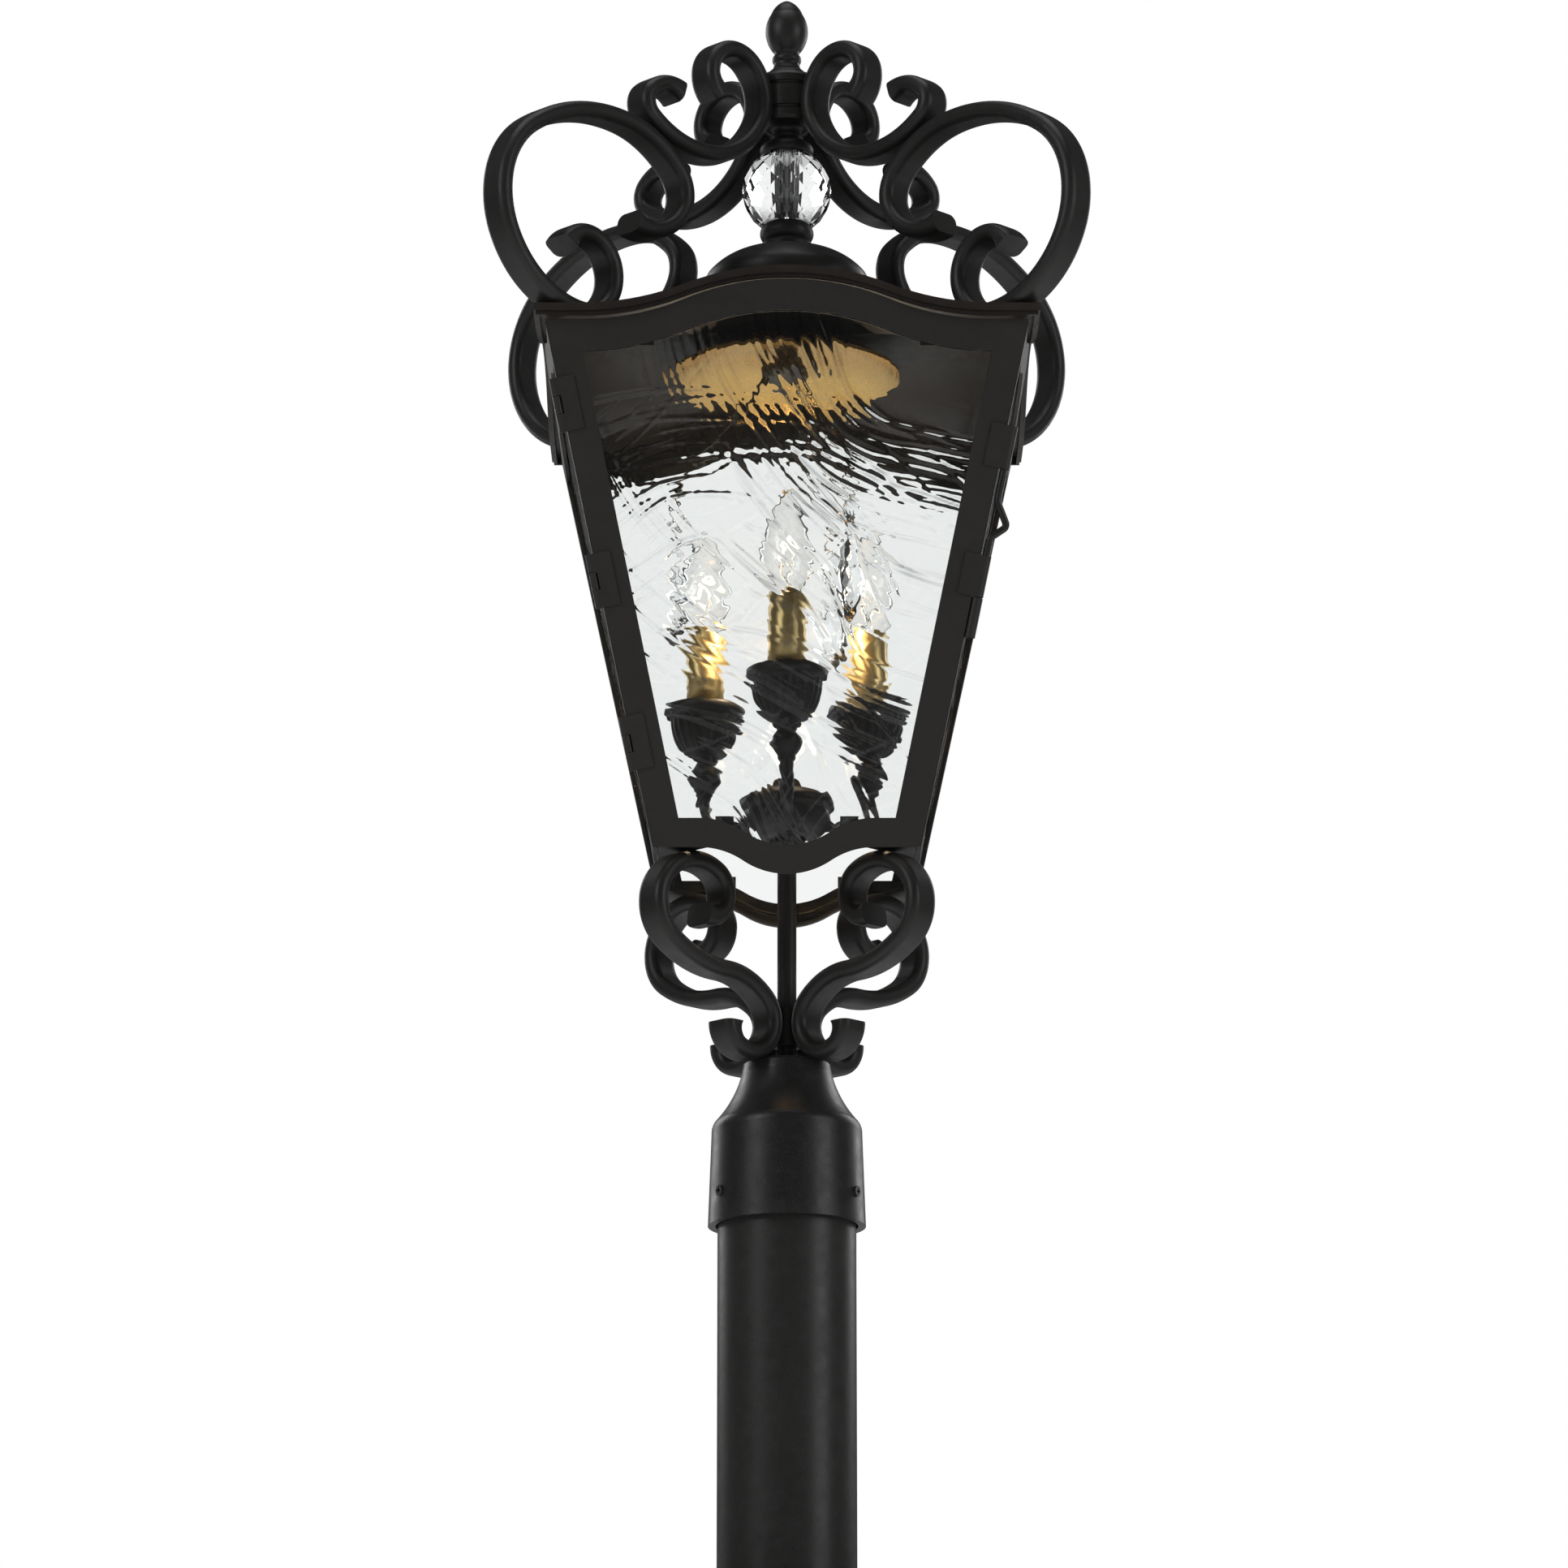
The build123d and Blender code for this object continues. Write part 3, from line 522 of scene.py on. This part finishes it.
def crystal_ball():
    """Cut ball with flat ends and a bored middle for the silvered tube."""
    low, high = (Vector(corner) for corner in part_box("crystal_ball"))
    tube_low, tube_high = (Vector(corner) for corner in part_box("crystal_tube"))
    radius, bore = (high.x - low.x) / 2, (tube_high.x - tube_low.x) / 2 + 0.1 * MM
    centre = (low.z + high.z) / 2
    rings = []
    for step in range(9):
        angle = math.asin(min(1, (high.z - centre) / radius)) * (step - 4) / 4
        rings.append((radius * math.cos(angle), radius * math.sin(angle)))
    bm = bmesh.new()
    place = Matrix.Translation((0, 0, centre))
    rows = facet(bm, rings, BALL_SIDES, place)
    for row, at in ((rows[0], low.z), (rows[-1], high.z)):
        inner = []
        for vert in row:
            angle = math.atan2(vert.co.y, vert.co.x)
            inner.append(bm.verts.new((bore * math.cos(angle), bore * math.sin(angle), at)))
            vert.co.z = at
        rows.append(inner)
        for k in range(BALL_SIDES):
            nxt = (k + 1) % BALL_SIDES
            bm.faces.new((row[k], row[nxt], inner[nxt], inner[k]))
    for k in range(BALL_SIDES):
        nxt = (k + 1) % BALL_SIDES
        bm.faces.new((rows[-2][k], rows[-2][nxt], rows[-1][nxt], rows[-1][k]))
    add_piece("cut_crystal_ball", bm, "lantern", ["crystal_ball"], [CRYSTAL], smooth=False)


crystal_ball()


# ---------- crystal drops ----------

DROP_R, BEAD_R = 8.2 * MM, 4.6 * MM


def crystal_drop(side):
    """Wire ring, beads and a cut almond drop that swing as one."""
    node_name = "pendant_" + side
    boxes = sorted(islands(node_name), key=lambda box: box[0].z)
    drop, bead, ring = boxes[0], boxes[1], boxes[-1]
    low, high = (Vector(corner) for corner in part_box(node_name))
    axis = (low + high) / 2
    turn = Matrix.Rotation(math.atan2(axis.y, axis.x), 4, "Z")
    origin = Vector((axis.x, axis.y, 0))
    bm = bmesh.new()
    for (bottom, top), widest_at, reach, flat in ((drop, 0.36, DROP_R, 0.6), (bead, 0.5, BEAD_R, 0.85)):
        reach = min(reach, max(math.hypot(top.x - bottom.x, top.y - bottom.y) / 2, 3 * MM) * 1.05)
        rings = []
        for share in (0.0, 0.12, 0.26, 0.42, 0.58, 0.76, 0.9, 1.0):
            if share < widest_at:
                size = math.sin(math.pi / 2 * share / widest_at) ** 0.8
            else:
                size = math.cos(math.pi / 2 * (share - widest_at) / (1 - widest_at)) ** 0.9
            rings.append((max(reach * size, 0.35 * MM), (top.z - bottom.z) * share))
        foot = Matrix.Translation(origin + Vector((0, 0, bottom.z)))
        rows = facet(bm, rings, 8, foot @ turn @ Matrix.Diagonal((flat, 1, 1, 1)))
        bm.faces.new(rows[0][::-1])
        bm.faces.new(rows[-1])
    flat_faces = len(bm.faces)
    eye = origin + Vector((0, 0, (ring[0].z + ring[1].z) / 2))
    radius = (ring[1].z - ring[0].z) / 2 - 0.5 * MM
    points = []
    for k in range(28):
        angle = 2 * math.pi * k / 28
        points.append(eye + turn @ Vector((0, radius * math.cos(angle), radius * math.sin(angle))))
    tube(bm, points, 0.45 * MM, 8, 1, closed=True)
    for upper, lower in ((ring[0].z, bead[1].z), (bead[0].z, drop[1].z)):
        for k in range(2):
            top_z, bottom_z = upper + 0.6 * MM, lower - 0.6 * MM
            points = []
            for step in range(13):
                t = step / 12
                level = Vector((0, 0, top_z + (bottom_z - top_z) * t))
                swing = 0.9 * MM * math.sin(math.pi * t * 2 + math.pi * k)
                points.append(origin + level + turn @ Vector((0, swing, 0)))
            tube(bm, points, 0.28 * MM, 6, 1)
    piece = add_piece("cut_drop_" + side, bm, "crystal_" + side, [node_name],
                      [CRYSTAL, SILVER], smooth=False)
    for polygon in piece.data.polygons[flat_faces:]:
        polygon.use_smooth = True


for side in ("left", "front", "back"):
    crystal_drop(side)


# ---------- candle lights ----------

def fluted(radius, height, angle):
    """Ribs on the bell of a cup; the profile gives the height above the cup's foot."""
    share = (height - 23.5 * MM) / (22.0 * MM)
    if not 0 < share < 1:
        return radius
    depth = 0.085 * min(1, 4 * share, 6 * (1 - share))
    return radius * (1 - depth * (1 - abs(math.sin(angle * 11))) ** 1.4)


def candle_cups():
    """Ball knop, ring and fluted bell with a rolled rim."""
    bm = bmesh.new()
    knop = [(0.0, 0), (4.2, 0), (4.9, 1.2), (4.9, 3)]
    knop += [(4.4 + 4.3 * math.sin(math.pi * k / 12) ** 0.8, 3 + 15 * k / 12) for k in range(1, 12)]
    knop += [(4.8, 18), (6.2, 18.6), (7.4, 19.4), (7.7, 20.6), (7.4, 21.8), (8.2, 22.6), (9.2, 23.4)]
    bell = [(9.2 + 10.6 * math.sin(math.pi / 2 * k / 10) ** 0.9, 23.4 + 22.2 * (k / 10) ** 1.5)
            for k in range(1, 11)]
    rim = [(21.0, 46.2), (22.3, 46.8), (22.85, 48.2), (22.85, 50.0), (22.2, 51.6), (21.2, 52.4),
           (19.6, 52.3), (18.4, 50.8), (11.0, 49.4), (10.7, 49.0), (10.7, 47.0), (0.0, 47.0)]
    for low, high in islands("candle_cups"):
        middle = (low + high) / 2
        rings = [(r * MM, h * MM) for r, h in knop + bell + rim]
        lathe(bm, rings, 132, Vector((middle.x, middle.y, low.z)), fluted)
    add_piece("fluted_candle_cups", bm, "lantern", ["candle_cups"], [COAT])


def candle_sleeves():
    """Thin tubes with a rounded lip."""
    bm = bmesh.new()
    for low, high in islands("candle_sleeves"):
        middle, radius, tall = (low + high) / 2, (high.x - low.x) / 2, high.z - low.z
        bore = radius - 0.7 * MM
        rings = [(bore, 0), (radius, 0), (radius, tall * 0.5), (radius, tall - 0.5 * MM),
                 (radius - 0.3 * MM, tall), (bore, tall - 0.4 * MM), (bore, tall * 0.5)]
        lathe(bm, rings, 64, Vector((middle.x, middle.y, low.z)), close=True)
    add_piece("gold_candle_sleeves", bm, "lantern", ["candle_sleeves"], [SLEEVE_GOLD])


def torpedo(share):
    """Radius share of a flame-tip bulb at a share of its height above the neck."""
    if share < 0.36:
        return 0.47 + 0.53 * math.sin(math.pi / 2 * share / 0.36) ** 1.1
    return max(0.0, math.cos(math.pi / 2 * (share - 0.36) / 0.64)) ** 0.82


def bulbs():
    """Clear thin-walled bulbs with a screw base, a glass stem and a glowing filament."""
    glass, parts = bmesh.new(), bmesh.new()
    for low, high in islands("bulbs"):
        foot = Vector(((low.x + high.x) / 2, (low.y + high.y) / 2, low.z))
        radius, neck, tall = (high.x - low.x) / 2, 13 * MM, high.z - low.z
        outer = [(radius * torpedo(k / 24), neck + (tall - neck) * k / 24) for k in range(25)]
        inner = [(max(r - 0.4 * MM, 0), h - 0.4 * MM * (k / 24) ** 3) for k, (r, h) in enumerate(outer)]
        skin = [(5.6 * MM, neck - 1 * MM)] + outer + inner[::-1] + [(5.2 * MM, neck - 1 * MM)]
        lathe(glass, skin, 48, foot, close=True)
        stem = [(0, neck), (2.6 * MM, neck), (2.0 * MM, neck + 6 * MM), (1.1 * MM, neck + 13 * MM),
                (0, neck + 15 * MM)]
        lathe(glass, stem, 20, foot)
        thread = []
        for k in range(24):
            radius_here = (5.7 + 0.35 * math.cos(math.pi * k / 2)) * MM
            thread.append((radius_here, 0.3 * MM + (neck - 0.6 * MM) * k / 23))
        lathe(parts, [(0, 0.1 * MM)] + thread + [(5.2 * MM, neck), (0, neck)], 40, foot)
        top = foot + Vector((0, 0, neck + 15 * MM))
        for side in (-1, 1):
            lead = [top - Vector((0, 0, 6 * MM)), top + Vector((side * 2.4 * MM, 0, 4 * MM)),
                    top + Vector((side * 3.2 * MM, 0, 9 * MM))]
            tube(parts, lead, 0.18 * MM, 6, 1)
        coil = []
        for step in range(97):
            t = step / 96
            along = Vector((math.cos(math.pi * (1 - t)) * 3.2, 0, 9 + 9.5 * math.sin(math.pi * t)))
            spin = 2 * math.pi * 16 * t
            coil.append(top + MM * (along + 0.5 * Vector((math.cos(spin), math.sin(spin), 0))))
        tube(parts, coil, 0.32 * MM, 6, 2)
    add_piece("bulb_glass", glass, "lantern", ["bulbs"], [BULB_GLASS])
    add_piece("bulb_insides", parts, "lantern", [], [BRASS, SILVER, FILAMENT])


candle_cups()
candle_sleeves()
bulbs()


# ---------- stage, lights and camera ----------

FLOOR_Z, FLOOR_HALF, PLINTH_SHARE, PAINT_GLOW = -1.1, 8.0, 0.30, 0.42
# the backdrop is white up to the first of these sines of elevation, and grey from the second on
WHITE_TO, GREY_FROM = 0.56, 0.82
# strength left in the backdrop's light after one bounce of each kind
AFTER_BOUNCE = (("Glossy Depth", 0.07), ("Diffuse Depth", 0.30))
CAMERA_PLACE, CAMERA_TILT, LENS = (-0.0016, -3.251, -0.348), 104.4, 137.9
# name, place, width and height, and power in watts of each area light
AREA_LIGHTS = (("key_left", (-2.2, -1.9, 1.9), (1.2, 1.8), 22),
               ("fill_right", (2.4, -1.5, 1.2), (1.2, 1.8), 15),
               ("rim_left", (-1.8, 2.0, 1.5), (1.0, 1.6), 16),
               ("rim_right", (1.8, 2.0, 1.5), (1.0, 1.6), 16),
               ("top", (0, -0.2, 3.0), (1.6, 1.6), 14))


def stage_material(name, tone):
    """Matt pale paint with a little light of its own."""
    s = Shader(name)
    s.set(Base_Color=s.mix(s.noise(3, 2), (tone, tone, tone), (tone * 0.985, tone * 0.985, tone * 0.98)))
    s.set(Roughness=0.7)
    s.surface.inputs["Emission Color"].default_value = (1, 1, 1, 1)
    s.surface.inputs["Emission Strength"].default_value = PAINT_GLOW
    return s.material


def add_stage():
    """Pale plinth no wider than the foot, and a pale floor well below it."""
    bm = bmesh.new()
    reach = (cad_box[1][0] - cad_box[0][0]) * PLINTH_SHARE
    outline = [(0, FLOOR_Z), (reach, FLOOR_Z), (reach, -0.006), (reach - 0.005, -0.001), (0, -0.001)]
    lathe(bm, outline, 96, Vector((0, 0, 0)))
    bmesh.ops.recalc_face_normals(bm, faces=bm.faces)
    mesh = bpy.data.meshes.new("plinth")
    bm.to_mesh(mesh)
    bm.free()
    mesh.materials.append(stage_material("plinth_paint", 0.86))
    plinth = bpy.data.objects.new("plinth", mesh)
    floor_mesh = bpy.data.meshes.new("floor")
    corners = [(x * FLOOR_HALF, y * FLOOR_HALF, FLOOR_Z) for x, y in ((-1, -1), (1, -1), (1, 1), (-1, 1))]
    floor_mesh.from_pydata(corners, [], [(0, 1, 2, 3)])
    floor_mesh.materials.append(stage_material("floor_paint", 0.9))
    floor = bpy.data.objects.new("floor", floor_mesh)
    for thing in (plinth, floor):
        bpy.context.scene.collection.objects.link(thing)


def add_light(name, place, size, power):
    """White area light, aimed at the middle of the object."""
    target = Vector((0, 0, (cad_box[0][2] + cad_box[1][2]) / 2))
    light = bpy.data.lights.new(name, "AREA")
    light.shape, light.size, light.size_y = "RECTANGLE", size[0], size[1]
    light.energy = power
    thing = bpy.data.objects.new(name, light)
    thing.location = place
    thing.rotation_euler = (target - Vector(place)).to_track_quat("-Z", "Y").to_euler()
    bpy.context.scene.collection.objects.link(thing)


def add_world():
    """White backdrop that lights the object less brightly than it shows."""
    world = bpy.data.worlds.new("studio")
    world.use_nodes = True
    bpy.context.scene.world = world
    nodes, links = world.node_tree.nodes, world.node_tree.links
    background = nodes["Background"]
    split = nodes.new("ShaderNodeSeparateXYZ")
    links.new(nodes.new("ShaderNodeTexCoord").outputs["Generated"], split.inputs["Vector"])
    height = nodes.new("ShaderNodeMath")
    height.operation = "ABSOLUTE"
    links.new(split.outputs["Z"], height.inputs[0])
    shade = nodes.new("ShaderNodeValToRGB")
    near, far = shade.color_ramp.elements
    near.position, near.color = WHITE_TO, (1, 1, 1, 1)
    far.position, far.color = GREY_FROM, (0.22, 0.22, 0.22, 1)
    links.new(height.outputs["Value"], shade.inputs["Fac"])
    links.new(shade.outputs["Color"], background.inputs["Color"])
    path = nodes.new("ShaderNodeLightPath")
    both = nodes.new("ShaderNodeMath")
    both.operation = "MULTIPLY"
    for index, (bounce, left) in enumerate(AFTER_BOUNCE):
        part = nodes.new("ShaderNodeMapRange")
        part.inputs["To Min"].default_value = 1.0
        part.inputs["To Max"].default_value = left
        links.new(path.outputs[bounce], part.inputs["Value"])
        links.new(part.outputs["Result"], both.inputs[index])
    links.new(both.outputs["Value"], background.inputs["Strength"])


def add_camera():
    """Camera in front of the foot and below it, tilted up."""
    camera = bpy.data.cameras.new("camera")
    camera.sensor_width = 36.0
    camera.lens = LENS
    camera.clip_start, camera.clip_end = 0.05, 60
    thing = bpy.data.objects.new("camera", camera)
    thing.location = CAMERA_PLACE
    thing.rotation_euler = (math.radians(CAMERA_TILT), 0, 0)
    bpy.context.scene.collection.objects.link(thing)
    bpy.context.scene.camera = thing


def add_lamp_glow():
    """Warm light of the bulbs on the reflector and the roof; the lamp itself isn't seen."""
    lamp = bpy.data.lights.new("lamp_glow", "POINT")
    lamp.energy, lamp.color, lamp.shadow_soft_size = 0.75, (1.0, 0.78, 0.52), 0.012
    glow = bpy.data.objects.new("lamp_glow", lamp)
    glow.visible_camera = False
    glow.visible_transmission = False
    low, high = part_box("bulbs")
    glow.location = (0, 0, (low[2] + high[2]) / 2)
    bpy.context.scene.collection.objects.link(glow)


add_stage()
add_world()
for light in AREA_LIGHTS:
    add_light(*light)
add_lamp_glow()
add_camera()
bpy.context.scene.view_settings.view_transform = "Standard"
